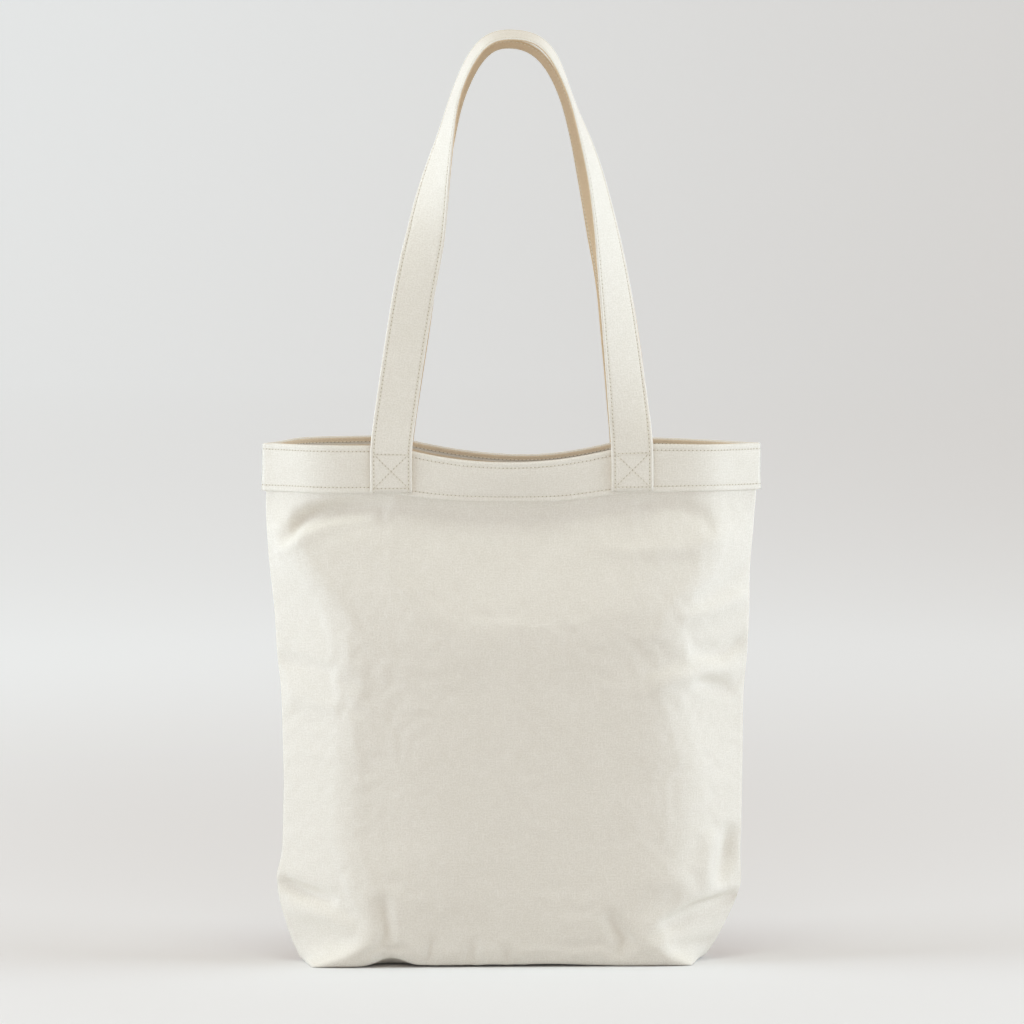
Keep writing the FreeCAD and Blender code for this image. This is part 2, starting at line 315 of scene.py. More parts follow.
# Folds pressed into the panels, in millimetres: how far out a fold stands (minus for a valley), how wide
# it is, and its path across and up.
FRONT_FOLDS = [
    (-10, 5, (-174, 330), (-163, 343), (-148, 350), (-124, 354), (-92, 357)),
    (3, 5, (-176, 320), (-160, 332), (-138, 340), (-100, 345)),
    (-3, 5.5, (100, 356), (128, 353), (146, 346), (153, 332)),
    (1.8, 7, (156, 326), (130, 322), (90, 320), (60, 324)),
    (-2.5, 6, (172, 300), (160, 290), (140, 282)),
    (3, 6, (182, 284), (156, 274), (126, 268)),
    (-6, 6, (174, 246), (160, 240), (134, 244)),
    (3, 7, (170, 226), (140, 224), (104, 220)),
    (-5.5, 5, (164, 212), (152, 216), (138, 220)),
    (-2.4, 7, (-186, 236), (-160, 232), (-136, 226)),
    (1.6, 10, (-180, 214), (-156, 206), (-132, 198)),
    (-7, 5, (-176, 61), (-164, 56), (-136, 50)),
    (5, 9, (-174, 44), (-150, 40), (-122, 30)),
    (-5, 6, (-100, 50), (-98, 30), (-102, 10)),
    (-7, 5, (168, 50), (160, 46), (138, 42), (112, 30)),
    (-7, 6, (166, 100), (163, 80), (156, 60)),
    (4.5, 7, (150, 96), (146, 76), (150, 56)),
    (4, 8, (152, 26), (126, 22), (98, 16)),
    (-4.5, 6, (74, 38), (82, 22), (78, 6)),
    (-2.6, 4, (-66, 3), (-65, 14), (-60, 26)),
    (-2.4, 4, (-33, 3), (-33, 14), (-31, 24)),
    (-2.2, 3.5, (-5, 3), (-6, 12), (-8, 20)),
    (-2, 5, (-104, 2), (-94, 10), (-84, 20)),
]
BACK_FOLDS = [
    (-3.2, 5.5, (-160, 330), (-150, 340), (-132, 348), (-100, 355)),
    (-4, 5.5, (98, 356), (130, 352), (156, 344), (170, 328)),
    (3, 6, (-182, 276), (-150, 266), (-116, 258)),
    (-3.2, 6, (-178, 252), (-150, 246), (-120, 240)),
    (-3, 7, (176, 232), (150, 222), (120, 214)),
    (2.4, 8, (180, 252), (150, 244), (118, 240)),
    (-4.5, 5, (-176, 61), (-162, 55), (-138, 50)),
    (-4.5, 5, (168, 54), (158, 50), (136, 44)),
    (2.4, 8, (-152, 28), (-124, 22), (-98, 16)),
    (2.4, 8, (152, 30), (124, 22), (98, 14)),
    (-2.4, 4.5, (-42, 3), (-42, 14), (-46, 24)),
    (-2.4, 4.5, (28, 3), (30, 14), (27, 24)),
]


def fold_strength(x, z, path, width):
    """0 to 1: how close points lie to a fold's path, fading towards its far end."""
    best = np.full(x.shape, 1e9)
    way = np.zeros(x.shape)
    steps = [math.dist(a, b) for a, b in zip(path, path[1:])]
    start = 0.0
    for (ax, az), (bx, bz), step in zip(path, path[1:], steps):
        t = np.clip(((x - ax) * (bx - ax) + (z - az) * (bz - az)) / step ** 2, 0, 1)
        distance = np.hypot(x - ax - t * (bx - ax), z - az - t * (bz - az))
        closer = distance < best
        best = np.where(closer, distance, best)
        way = np.where(closer, (start + t * step) / sum(steps), way)
        start += step
    fade = np.sin(np.clip(way * 0.86 + 0.14, 0, 1) * math.pi) ** 0.6
    return np.exp(-(best / width) ** 2) * fade


def ripple(x, z, size, seed):
    """Smooth unevenness between about -1 and 1, from a few crossed waves."""
    draws = np.random.default_rng(seed)
    total = np.zeros(np.shape(x))
    for _ in range(7):
        angle, phase, stretch = draws.uniform(0, math.pi), draws.uniform(0, 6.3), draws.uniform(0.7, 1.5)
        total += np.sin((x * math.cos(angle) + z * math.sin(angle)) / (size * stretch) + phase)
    return total / 4.0


def sculpted_panel(side):
    """A panel with its folds pressed in, in metres, on its own side of the bag."""
    grid = panel_grid(side)
    normals = unit(np.cross(np.gradient(grid, axis=1), np.gradient(grid, axis=0)))
    x, z = grid[..., 0], grid[..., 2]
    out = np.zeros(x.shape)
    for height, width, *path in FRONT_FOLDS if side == "front" else BACK_FOLDS:
        out += height * fold_strength(x, z, path, width)
    shares = column_shares()
    clear_of_seam = smooth(np.minimum(shares, 1 - shares), 0.0, 0.03)[None, :]
    clear_of_base = smooth(z, 0.0, 5.0)
    rise = np.broadcast_to(np.linspace(0, 400, ROWS + 1)[:, None], x.shape)
    below_band = 1 - smooth(rise, 352.0, 366.0)
    seed = 3 if side == "front" else 8
    out += 0.25 * ripple(x, z, 13.0, seed) + 0.5 * ripple(x, z, 34.0, seed + 1)
    out = out * clear_of_seam * clear_of_base * below_band
    band_wave = 1.1 * ripple(x, z * 0.3, 17.0, seed + 2) * smooth(rise, 345.0, 365.0)
    keep_flat = 1 - np.exp(-((np.abs(x) - STRAP_AT / MM) / 20.0) ** 6)
    out += band_wave * clear_of_seam * keep_flat
    grid = grid + normals * out[..., None]
    grid[..., 1] *= -SIDES[side]
    return grid * MM


# --- the cloth

def shell_vertices():
    """Points of the whole sewn sheet, and the vertex number of each grid place."""
    ring = 2 * AROUND
    rows = np.arange(ROWS + 1)[:, None] * ring
    columns = np.arange(AROUND + 1)
    number = {"front": rows + columns, "back": rows + (ring - columns) % ring}
    points = np.zeros((rows.size * ring, 3))
    for side in ("back", "front"):
        points[number[side]] = sculpted_panel(side)
    return points, number


def base_numbers(points, number):
    """Adds the boxed bottom: a grid joined to the lowest ring all round."""
    wide, deep = FRONT_CELLS, 2 * GUSSET
    front, back = number["front"][0], number["back"][0]
    grid = np.zeros((deep + 1, wide + 1), dtype=int)
    grid[0] = front[GUSSET:-GUSSET]
    grid[-1] = back[GUSSET:-GUSSET]
    grid[:, 0] = [*front[GUSSET::-1], *back[1:GUSSET + 1]]
    grid[:, -1] = [*front[-GUSSET - 1:], *back[-2:-GUSSET - 2:-1]]
    t = (np.arange(1, deep) / deep)[:, None, None]
    s = (np.arange(1, wide) / wide)[None, :, None]
    left, right = points[grid[1:-1, :1]], points[grid[1:-1, -1:]]
    near, far = points[grid[:1, 1:-1]], points[grid[-1:, 1:-1]]
    corners = ((1 - t) * ((1 - s) * points[grid[0, 0]] + s * points[grid[0, -1]])
               + t * ((1 - s) * points[grid[-1, 0]] + s * points[grid[-1, -1]]))
    inside = (1 - s) * left + s * right + (1 - t) * near + t * far - corners
    grid[1:-1, 1:-1] = len(points) + np.arange((deep - 1) * (wide - 1)).reshape(deep - 1, wide - 1)
    return np.vstack([points, inside.reshape(-1, 3)]), grid


def cells(grid, order):
    """The corners of each cell of a grid, row by row, taken in an order that turns its face one way."""
    corners = [grid[:-1, :-1], grid[:-1, 1:], grid[1:, 1:], grid[1:, :-1]]
    return np.stack([corners[i] for i in order], axis=2).reshape(-1, 4, *grid.shape[2:])


def shell_faces(number, base):
    """Faces of each panel with their (u, v) corners in metres: the wall, then half of the bottom."""
    shares = column_shares() * FLAT_WIDE
    heights = np.linspace(0, FLAT_WALL, ROWS + 1)
    depths = BASE_DEPTH * MM * (np.abs(np.linspace(-1, 1, 2 * GUSSET + 1)) - 1)
    wall_uv = np.stack(np.meshgrid(shares, heights), axis=2)
    base_uv = np.stack(np.meshgrid(shares[GUSSET:-GUSSET], depths), axis=2)
    faces, corners = {}, {}
    for side, order, half in (("front", (0, 1, 2, 3), slice(0, GUSSET + 1)),
                              ("back", (3, 2, 1, 0), slice(GUSSET, None))):
        faces[side] = np.vstack([cells(number[side], order), cells(base[half], (0, 3, 2, 1))])
        corners[side] = np.vstack([cells(wall_uv, order), cells(base_uv[half], (0, 3, 2, 1))])
    return faces, corners


def settle(points, faces, held):
    """Lets the sewn sheet crumple and sag a little; held says how firmly each vertex keeps its place."""
    item = mesh_object("settling_cloth", points, faces)
    weigh(item, "held", held)
    cloth = item.modifiers.new("cloth", "CLOTH")
    settings = {
        "quality": 6, "mass": 0.25, "air_damping": 2,
        "tension_stiffness": 30, "compression_stiffness": 30, "shear_stiffness": 12,
        "bending_stiffness": 3.0,
        "tension_damping": 12, "compression_damping": 12, "shear_damping": 12, "bending_damping": 2,
        "vertex_group_mass": "held", "pin_stiffness": 1.0, "shrink_min": -0.012,
        "use_pressure": True, "uniform_pressure_force": 0.6,
    }
    for key, value in settings.items():
        setattr(cloth.settings, key, value)
    cloth.collision_settings.use_collision = False
    cloth.point_cache.frame_start = 1
    cloth.point_cache.frame_end = SETTLE_FRAMES
    scene = bpy.context.scene
    for number in range(1, SETTLE_FRAMES + 1):
        scene.frame_set(number)
    settled = item.evaluated_get(bpy.context.evaluated_depsgraph_get())
    moved = np.array([v.co for v in settled.data.vertices])
    scene.frame_set(1)
    bpy.data.objects.remove(item)
    step = moved - points
    size = np.linalg.norm(step, axis=1, keepdims=True)
    return points + step * np.minimum(1, SETTLE_CAP / np.maximum(size, 1e-9))


def settled_shell():
    points, number = shell_vertices()
    points, base = base_numbers(points, number)
    lift_front_edge(points)
    faces, corners = shell_faces(number, base)
    held = np.zeros(len(points))
    for side in SIDES:
        held[number[side]] = smooth(ROW_HEIGHTS, HEIGHT - 0.048, HEIGHT - 0.037)[:, None]
    held = np.maximum(held, points[:, 2] < 0.002)
    held = np.maximum(held, CLOTH_MEMORY)
    points = settle(points, np.vstack([faces["front"], faces["back"]]), held)
    points[:, 2] = np.maximum(points[:, 2], 0.0)
    return points, number, base, faces, corners


def lift_front_edge(points):
    """The front bottom edge stands a little off the floor, most in one low arch near its left."""
    x, y = points[:, 0] / MM, points[:, 1] / MM
    arch = 6.5 * np.exp(-((x + 97) / 13.0) ** 2) + 2.2 * smooth(x, -104, -84) * (1 - smooth(x, 10, 96))
    near = smooth(-y, 18.0, 41.0) * (1 - smooth(points[:, 2] / MM, 4.0, 22.0))
    points[:, 2] += arch * near * MM


# --- the panels

def panel_object(side, points, faces, corners):
    """One canvas panel with its thickness, cut from the settled sheet."""
    used, compact = np.unique(faces, return_inverse=True)
    compact = compact.reshape(-1, 4)
    uvs = corners.reshape(-1, 2)
    panel = mesh_object(f"{side}_canvas", points[used], compact, [CANVAS, SHADED_INSIDE_CANVAS], uvs=uvs)
    finer = panel.modifiers.new("finer", "SUBSURF")
    finer.levels = finer.render_levels = 1
    finer.boundary_smooth = "PRESERVE_CORNERS"
    apply_modifier(panel, finer)
    distance = press_in_seams(panel)
    weigh(panel, "full_thickness", smooth(distance, 1.5 * MM, 11.0 * MM))
    thick = panel.modifiers.new("thick", "SOLIDIFY")
    thick.vertex_group = "full_thickness"
    thick.thickness_vertex_group = 0.08
    thick.thickness = CLOTH
    thick.offset = -1
    # Inner faces and rims take the inside canvas, whose darker, warmer colour is painted shade and warm
    # bounce light.
    thick.material_offset = 1
    thick.material_offset_rim = 1
    apply_modifier(panel, thick)
    return panel


def press_in_seams(panel):
    """The side seams lie in a narrow groove. Gives each vertex's distance from the nearer seam."""
    mesh = panel.data
    co = np.array([vertex.co for vertex in mesh.vertices], dtype=float)
    nearest = np.full(len(co), 1.0)
    for line in SEAM_LINES.values():
        x = np.interp(co[:, 2], line[:, 2], line[:, 0])
        y = np.interp(co[:, 2], line[:, 2], line[:, 1])
        distance = np.hypot(co[:, 0] - x, co[:, 1] - y)
        nearest = np.minimum(nearest, distance)
        groove = np.exp(-(distance / (1.8 * MM)) ** 2) * smooth(co[:, 2], 0.002, 0.01)
        co[:, 0] -= np.sign(x) * 1.1 * MM * groove
    mesh.vertices.foreach_set("co", co.ravel())
    mesh.update()
    return nearest


# --- the hem band

def between(rows, positions):
    """Smooth values between evenly spaced rows (Catmull-Rom), at fractional row positions."""
    rows = np.asarray(rows, dtype=float)
    last = len(rows) - 1
    i = np.clip(np.floor(positions).astype(int), 0, last - 1)
    t = (positions - i).reshape((-1,) + (1,) * (rows.ndim - 1))
    before, start = rows[np.maximum(i - 1, 0)], rows[i]
    end, after = rows[i + 1], rows[np.minimum(i + 2, last)]
    return start + 0.5 * t * (end - before + t * (
        2 * before - 5 * start + 4 * end - after + t * (3 * (start - end) + after - before)))


class Collar:
    """The top of one settled panel: places on it by share of the width and way down from the rim."""

    STEP = 2.5 * MM

    def __init__(self, side, grid):
        self.sign = SIDES[side]
        levels = HEIGHT - np.arange(21) * self.STEP
        self.columns = np.array([points_at(levels, ROW_HEIGHTS, grid[:, k]) for k in range(grid.shape[1])])
        self.count = int(travelled(self.columns[:, 0])[-1] / STITCH_PITCH)

    def places(self, shares, down, out):
        """Points at shares of the width, down from the rim and out from the cloth, and their normals."""
        position = np.asarray(shares) * (len(self.columns) - 1)
        rows = between(self.columns, position)
        rate = min(max(down / self.STEP, 0.0), rows.shape[1] - 1.001)
        low = int(rate)
        points = rows[:, low] * (1 - rate + low) + rows[:, low + 1] * (rate - low)
        points[:, 2] += max(0.0, -down)
        level = self.columns[:, low]
        along = between(level, np.minimum(position + 0.4, len(level) - 1))
        along -= between(level, np.maximum(position - 0.4, 0))
        lean = rows[:, min(low + 1, rows.shape[1] - 1)] - rows[:, max(low - 1, 0)]
        normals = unit(np.cross(lean, along) * -self.sign)
        offsets = normals * out
        for end, toward in ((0, -1.0), (-1, 1.0)):
            if shares[end] in (0.0, 1.0):
                offsets[end] = (toward / max(0.45, abs(normals[end, 0])) * out, 0.0, 0.0)
        return points + offsets, normals


# Outer skin of the folded band, from its lower edge outside over the rim to its lower edge inside, then
# the skin next to the panel: (out from the canvas, drop below the rim), in millimetres.
BAND_PROFILE = [
    (0.35, 35.3), (0.9, 35.6), (1.4, 35.3), (1.6, 34.4), (1.55, 32.6), (1.1, 31.0), (1.4, 29.4),
    (1.25, 26), (1.05, 20), (1.0, 12), (1.0, 5.6), (0.6, 3.6), (0.95, 2.0), (0.9, 0.6), (0.5, -0.6),
    (-0.3, -1.1), (-1.2, -0.9), (-1.8, 0.2), (-2.0, 1.8), (-1.6, 3.6), (-2.1, 5.6), (-2.15, 12),
    (-2.2, 20), (-2.35, 27), (-2.4, 29.4), (-2.0, 31.0), (-2.6, 32.6), (-2.6, 34.2), (-2.2, 35.0),
    (-1.3, 35.0), (-1.0, 34.0), (-0.95, 18), (-0.95, 0.6), (0.03, 0.6), (0.03, 18), (0.05, 34.4),
]
BAND_STATIONS = 240


def hem_band(side, collar):
    """The folded band: outer skin, turned rim and inner skin, wrapped round the top of a panel."""
    shares = np.linspace(0, 1, BAND_STATIONS + 1)
    waver = 0.35 * ripple(shares * 400, shares * 0, 9.0, 21 if side == "front" else 22)
    rings = []
    for out, drop in BAND_PROFILE:
        ring, _ = collar.places(shares, drop * MM, out * MM)
        if drop > 30 and out > 0.1:
            ring[:, 2] -= waver * MM
        rings.append(ring)
    points = np.stack(rings, axis=1).reshape(-1, 3)
    # The inner skin takes the inside hem canvas, whose darker, warmer colour is painted shade and warm
    # bounce light.
    slots = [int(out < -1.7) for out, _ in BAND_PROFILE] * BAND_STATIONS + [0, 0]
    stitched = collar.count * STITCH_PITCH
    uvs = [(share * stitched, way) for share in shares for way in travelled(BAND_PROFILE) * MM]
    return closed(mesh_object(f"{side}_hem", points, swept_faces(len(shares), len(BAND_PROFILE)),
                              [HEM, HEM_IN], face_material=slots, uvs=uvs))


# --- stitches

STITCH_RINGS = [(-1.0, 0.35, -0.9), (-0.8, 0.9, -0.2), (-0.3, 1.0, 0.15), (0.3, 1.0, 0.15),
                (0.8, 0.9, -0.2), (1.0, 0.35, -0.9)]          # along, radius and height, of a stitch
STITCH_SIDES = 6


def stitches(name, groups, length=2.35 * MM, sink=0.25):
    """One mesh of separate stitches; a group is their places, directions and surface normals."""
    places, alongs, normals = (np.vstack(rows).astype(float) for rows in zip(*groups))
    alongs = unit(alongs)
    across = unit(np.cross(normals, alongs))
    slant = math.radians(7)
    alongs = alongs * math.cos(slant) + across * math.sin(slant)
    across = np.cross(normals, alongs)
    radius = THREAD / 2
    turns = [2 * math.pi * i / STITCH_SIDES for i in range(STITCH_SIDES)]
    template = np.array([
        (way * length / 2, math.cos(a) * width * radius, (math.sin(a) * width + height + sink) * radius)
        for way, width, height in STITCH_RINGS for a in turns
    ])
    points = (places[:, None] + alongs[:, None] * template[None, :, :1]
              + across[:, None] * template[None, :, 1:2] + normals[:, None] * template[None, :, 2:])
    faces = swept_faces(len(STITCH_RINGS), STITCH_SIDES)
    per = len(template)
    every = [tuple(v + n * per for v in face) for n in range(len(places)) for face in faces]
    uvs = np.tile(template[:, :2], (len(places), 1)) + np.repeat(places[:, ::2], per, axis=0)
    return closed(mesh_object(name, points.reshape(-1, 3), every, [THREAD_LOOK], uvs=uvs))


def stitched_line(a, b):
    """Stitch middles and directions along the line between two points."""
    a, b = np.asarray(a, float), np.asarray(b, float)
    count = max(1, round(math.dist(a, b) / STITCH_PITCH))
    places = [a + (b - a) * (i + 0.5) / count for i in range(count)]
    return places, [b - a] * count


def hem_stitches(side, collar, row, drop, outs):
    """A row of stitches round one half of the band, seen outside and inside."""
    shares = (np.arange(collar.count) + 0.5) / collar.count
    groups = []
    for out, facing in zip(outs, (1, -1)):
        middles, normals = collar.places(shares, drop, out * MM)
        ahead, _ = collar.places(shares + 0.001, drop, out * MM)
        keep = (facing < 0) | (np.abs(np.abs(middles[:, 0]) - STRAP_AT) > STRAP_WIDTH / 2 + 1 * MM)
        groups.append((middles[keep], (ahead - middles)[keep], normals[keep] * facing))
    return stitches(f"{side}_{row}_hem_stitches", groups)


# --- handles

# Each leg of a handle: exponent of its half arch, and the heights in metres between which it turns.
LEGS = {
    ("front", "left"): (2.2, 0.100, 0.285),
    ("front", "right"): (3.5, -0.070, 0.300),
    ("back", "left"): (2.1, 0.030, 0.268),
    ("back", "right"): (2.95, -0.040, 0.295),
}
# How far each leg bends to its right, as (height above the rim, shift), in millimetres.
SWAY = {
    ("front", "left"): [(0, 0), (120, 0.6), (160, 1.8), (200, 0.5), (234, 0), (265, -2.5), (313, -4.5)],
    ("front", "right"): [(0, 0), (120, -0.8), (160, -1.2), (204, -2.5), (230, -4.5), (250, -6.5),
                         (272, -7.5), (290, -6.8), (313, -4.5)],
    ("back", "left"): [(0, 0), (120, 0.4), (160, 1.2), (200, 0.4), (234, 0), (265, -2.5), (306, -4.5)],
    ("back", "right"): [(0, 0), (50, 0.7), (112, 1.2), (132, 0.2), (155, -2.2), (179, -3.8), (208, -5),
                        (240, -5), (263, -4.5), (306, -4.5)],
}
TWIST_FREE = 0.030              # metres above the rim over which a handle starts to turn
NARROWS = 0.262                 # where the front handle's right leg turns a little further
CROWN_TURN = math.radians(80)
CROWN_REACH = 16.8 * MM
STRAP_STEP = 2.5 * MM
BOX_LOW = 3.2 * MM
BOX_HIGH = 29.0 * MM
EDGE_LIFT = STRAP_WIDTH / 2 * math.cos(CROWN_TURN)


def legs(heights):
    """The part of a handle that each leg takes, up to its crown or down from it."""
    crown = int(np.argmax(heights))
    return (slice(0, crown), "left"), (slice(crown, None), "right")


def strap_path(side):
    """Evenly spaced middles of a handle from one sewn end over the crown to the other."""
    drop = CROWN_TOP[side] - HEIGHT - EDGE_LIFT - STRAP_THICK / 2
    start = BAND_FACE + STRAP_THICK / 2
    points = [(-STRAP_AT, start, HEIGHT - BAND_HEIGHT + 0.0003 + i * 0.004) for i in range(9)]
    for i in range(-60, 61):
        turn = math.radians(1.5 * i)
        lean = abs(math.sin(turn))
        rise = 1 - lean ** 2
        if rise * drop < 0.002:
            continue
        fullness = LEGS[side, "left" if i < 0 else "right"][0]
        points.append((math.copysign(STRAP_AT * lean ** (2 / fullness), turn),
                       start + (CROWN_REACH - start) * rise, HEIGHT + drop * rise))
    points += [(-x, y, z) for x, y, z in points[8::-1]]
    points = np.array(points)
    along = travelled(points)
    at = np.linspace(0, along[-1], int(round(along[-1] / STRAP_STEP)) + 1)
    even = points_at(at, along, points)
    heights = (even[:, 2] - HEIGHT) / MM
    for part, hand in legs(heights):
        even[part, 0] += np.interp(heights[part], *zip(*SWAY[side, hand])) * MM
    even = relaxed(even, 14)
    even[:, 1] *= SIDES[side]
    return even, at


def strap_frames(side):
    """Middles, directions across and outward normals along a handle, and the way travelled."""
    middles, at = strap_path(side)
    along = unit(np.gradient(middles, axis=0))
    facing = BACK * SIDES[side]
    arch_out = np.cross(np.broadcast_to(facing, along.shape), along) * -SIDES[side]
    heights = middles[:, 2] - HEIGHT
    twist = np.zeros(len(middles))
    for part, hand in legs(heights):
        _, low, high = LEGS[side, hand]
        free = smooth(heights[part], 0, TWIST_FREE)
        twist[part] = CROWN_TURN * smooth(heights[part], low, high) * free
    if side == "front":
        past_crown = np.arange(len(middles)) > np.argmax(heights)
        twist += math.radians(7) * np.exp(-((heights - NARROWS) / 0.026) ** 2) * past_crown
    twist += 0.035 * ripple(at / MM, at * 0, 22.0, 31) * smooth(heights, 0.02, 0.06)
    normals = facing * np.cos(twist)[:, None] + arch_out * np.sin(twist)[:, None]
    normals = unit(relaxed(normals, 6))
    return middles, unit(np.cross(along, normals)), normals, at


def strap_profile():
    """Closed section of a folded strap: (across, out) pairs, flat with round edges and two sunk rows."""
    half, thick = STRAP_WIDTH / 2, STRAP_THICK / 2
    row = half - EDGE_INSET
    face = []
    edges = np.linspace(0.72, 1, 9)
    for x in np.concatenate([np.linspace(-1, -0.72, 9), np.linspace(-0.6, 0.6, 7), edges]):
        place = x * half
        edge = max(0.0, abs(place) - (half - thick))
        out = math.sqrt(max(0.0, thick ** 2 - edge ** 2))
        sink = 0.28 * MM * math.exp(-((abs(place) - row) / (0.9 * MM)) ** 2)
        crown = 0.12 * MM * (1 - x * x)
        face.append((place, max(0.0, out - 0.1 * MM - sink + crown)))
    return face + [(x, -out) for x, out in face[-2:0:-1]]


def strap_object(side, frames):
    """A folded strap from one sewn end to the other; its cloth coordinates run in whole stitches, so that
    the painted stitch shade falls in place.
    """
    middles, across, normals, at = frames
    stitched = int(at[-1] / STITCH_PITCH) * STITCH_PITCH
    profile = strap_profile()
    girth = travelled(profile)
    last = len(middles) - 1
    points, uvs = [], []
    for i, (middle, width, normal) in enumerate(zip(middles, across, normals)):
        taper = 0.55 if i in (0, last) else 1.0
        for (x, out), way in zip(profile, girth):
            points.append(middle + width * x + normal * out * taper)
            uvs.append((way, stitched * i / last))
    # The inner face takes the inside strap cloth, whose darker, warmer colour is painted shade and warm
    # bounce light.
    inner = [int(a[1] + b[1] < -0.4 * MM) for a, b in zip(profile, profile[1:] + profile[:1])]
    faces = swept_faces(last + 1, len(profile))
    return closed(mesh_object(f"{side}_strap", points, faces, strap_materials(side, stitched),
                              face_material=inner * last + [0, 0], uvs=uvs))


def strap_stitches(side, frames):
    """Rows along both edges of a handle, on its outer face and on the inner face of its free part."""
    middles, across, normals, at = frames
    row = STRAP_WIDTH / 2 - EDGE_INSET
    out = STRAP_THICK / 2 - 0.36 * MM
    count = int(at[-1] / STITCH_PITCH)
    travel = (np.arange(count) + 0.5) * at[-1] / count
    position = travel / at[-1] * (len(middles) - 1)
    middle, width, normal = (between(rows, position) for rows in (middles, across, normals))
    along = np.gradient(middle, axis=0)
    free = middle[:, 2] > HEIGHT + 0.002
    groups = []
    for hand in (-1, 1):
        groups.append((middle + width * hand * row + normal * out, along, normal))
        groups.append(((middle + width * hand * row - normal * out)[free], along[free], -normal[free]))
    return stitches(f"{side}_strap_stitches", groups)


def box_stitches(side, hand):
    """The box and its cross on a sewn end, and the same stitches where they come through inside."""
    half = STRAP_WIDTH / 2 - EDGE_INSET
    foot = HEIGHT - BAND_HEIGHT
    low, high = foot + BOX_LOW, foot + BOX_HIGH
    x = HANDS[hand] * STRAP_AT
    # corners: low left, low right, high left, high right
    a, b, c, d = [(x + across, z) for z in (low, high) for across in (-half, half)]
    outside = [(a, b), (c, d), (a, d), (c, b)]
    inside = outside + [(a, c), (b, d)]
    faces = ((outside, BAND_FACE + STRAP_THICK - 0.12 * MM, 1), (inside, BAND_FACE - 2.65 * MM, -1))
    groups = []
    for runs, depth, facing in faces:
        for run in runs:
            places, alongs = stitched_line(*[(x, SIDES[side] * depth, z) for x, z in run])
            groups.append((places, alongs, [BACK * SIDES[side] * facing] * len(places)))
    return stitches(f"{side}_{hand}_box_stitches", groups)


# --- seams on the inside

SEAM_THICK = 2.0 * MM


def seam_strip(name, line, inward, up):
    """A flat bound strip that runs inward from a line, as thick as up points."""
    waver = 0.35 * MM * ripple(np.arange(len(line)) * 4.0, np.zeros(len(line)), 11.0, 41)
    half = [(0.6, 0.42), (2.0, 0.5), (5.0, 0.48), (7.2, 0.5), (7.9, 0.3)]
    profile = [(across, -high) for across, high in half] + [(8.0, 0.0)] + half[::-1]
    points, uvs = [], []
    for place, way, wave in zip(line, travelled(line), waver):
        for j, (across, high) in enumerate(profile):
            shift = wave * (across / 8.0)
            points.append(place + inward * (across * MM) + up * (high * SEAM_THICK + shift))
            uvs.append((way, j * 1.2 * MM))
    return closed(mesh_object(name, points, swept_faces(len(line), len(profile)), [BINDING], uvs=uvs))


def overlock(name, line, inward, up):
    """Thread wrapped over the free edge of a seam strip, on both of its faces."""
    way = travelled(line)
    middles = points_at(np.arange(2.0 * MM, way[-1] - 1 * MM, 2.2 * MM), way, line)
    along = unit(np.gradient(middles, axis=0))
    groups = []
    for face in (-1, 1):
        places = middles + inward * (5.6 * MM) + up * face * (SEAM_THICK * 0.5)
        groups.append((places, inward + along * 0.35 * face, [up * face] * len(places)))
    return stitches(name, groups, length=4.6 * MM, sink=0.5)


# --- materials

class Graph:
    """A node tree of one material, written as sums on sockets."""

    def __init__(self, name):
        self.material = bpy.data.materials.new(name)
        self.material.use_nodes = True
        self.tree = self.material.node_tree
        self.shader = self.tree.nodes["Principled BSDF"]

    def node(self, kind, *inputs, **settings):
        made = self.tree.nodes.new(f"ShaderNode{kind}")
        for key, value in settings.items():
            setattr(made, key, value)
        for place, value in enumerate(inputs):
            self.feed(made.inputs[place], value)
        return made

    def feed(self, socket, value):
        if isinstance(value, bpy.types.NodeSocket):
            self.tree.links.new(value, socket)
        elif value is not None:
            socket.default_value = value

    def math(self, operation, a, b=None):
        return self.node("Math", a, b, operation=operation).outputs[0]

    def times(self, a, b):
        return self.math("MULTIPLY", a, b)

    def joined(self, operation, values):
        total = values[0]
        for value in values[1:]:
            total = self.math(operation, total, value)
        return total

    def plus(self, *values):
        return self.joined("ADD", values)

    def minus(self, a, b):
        return self.math("SUBTRACT", a, b)

    def bump(self, height, strength, depth):
        """Normals bent by a height that stands out by so many millimetres."""
        made = self.node("Bump")
        for name, value in (("Strength", strength), ("Distance", depth * MM), ("Height", height)):
            self.feed(made.inputs[name], value)
        return made.outputs[0]

    def shaded(self, values):
        """The material, with the shader's inputs set by name."""
        for name, value in values.items():
            self.feed(self.shader.inputs[name], value)
        return self.material

    def most(self, values):
        return self.joined("MAXIMUM", values)

    def place(self, across=1.0, along=1.0, shift=0.0):
        """The cloth's own coordinates in millimetres, each with a scale."""
        u = self.math("MULTIPLY_ADD", self.u, across)
        u.node.inputs[2].default_value = shift
        return self.node("CombineXYZ", u, self.times(self.v, along), shift).outputs[0]

    def coordinates(self):
        uv = self.node("UVMap", uv_map="cloth").outputs[0]
        millimetres = self.node("VectorMath", uv, (1000.0, 1000.0, 0.0), operation="MULTIPLY").outputs[0]
        split = self.node("SeparateXYZ", millimetres)
        self.u, self.v = split.outputs[0], split.outputs[1]

    def noise(self, vector, detail=2.0, rough=0.5):
        made = self.node("TexNoise", vector, noise_dimensions="3D")
        for name, value in (("Scale", 1.0), ("Detail", detail), ("Roughness", rough)):
            made.inputs[name].default_value = value
        return made.outputs["Fac"]

    def spread(self, value, low, high, to_low=0.0, to_high=1.0):
        ends = (low, high, to_low, to_high)
        return self.node("MapRange", value, *ends, interpolation_type="SMOOTHSTEP").outputs[0]

    def blend(self, share, first, second):
        made = self.node("Mix", data_type="RGBA")
        self.feed(made.inputs[0], share)
        self.feed(made.inputs[6], first)
        self.feed(made.inputs[7], second)
        return made.outputs[2]


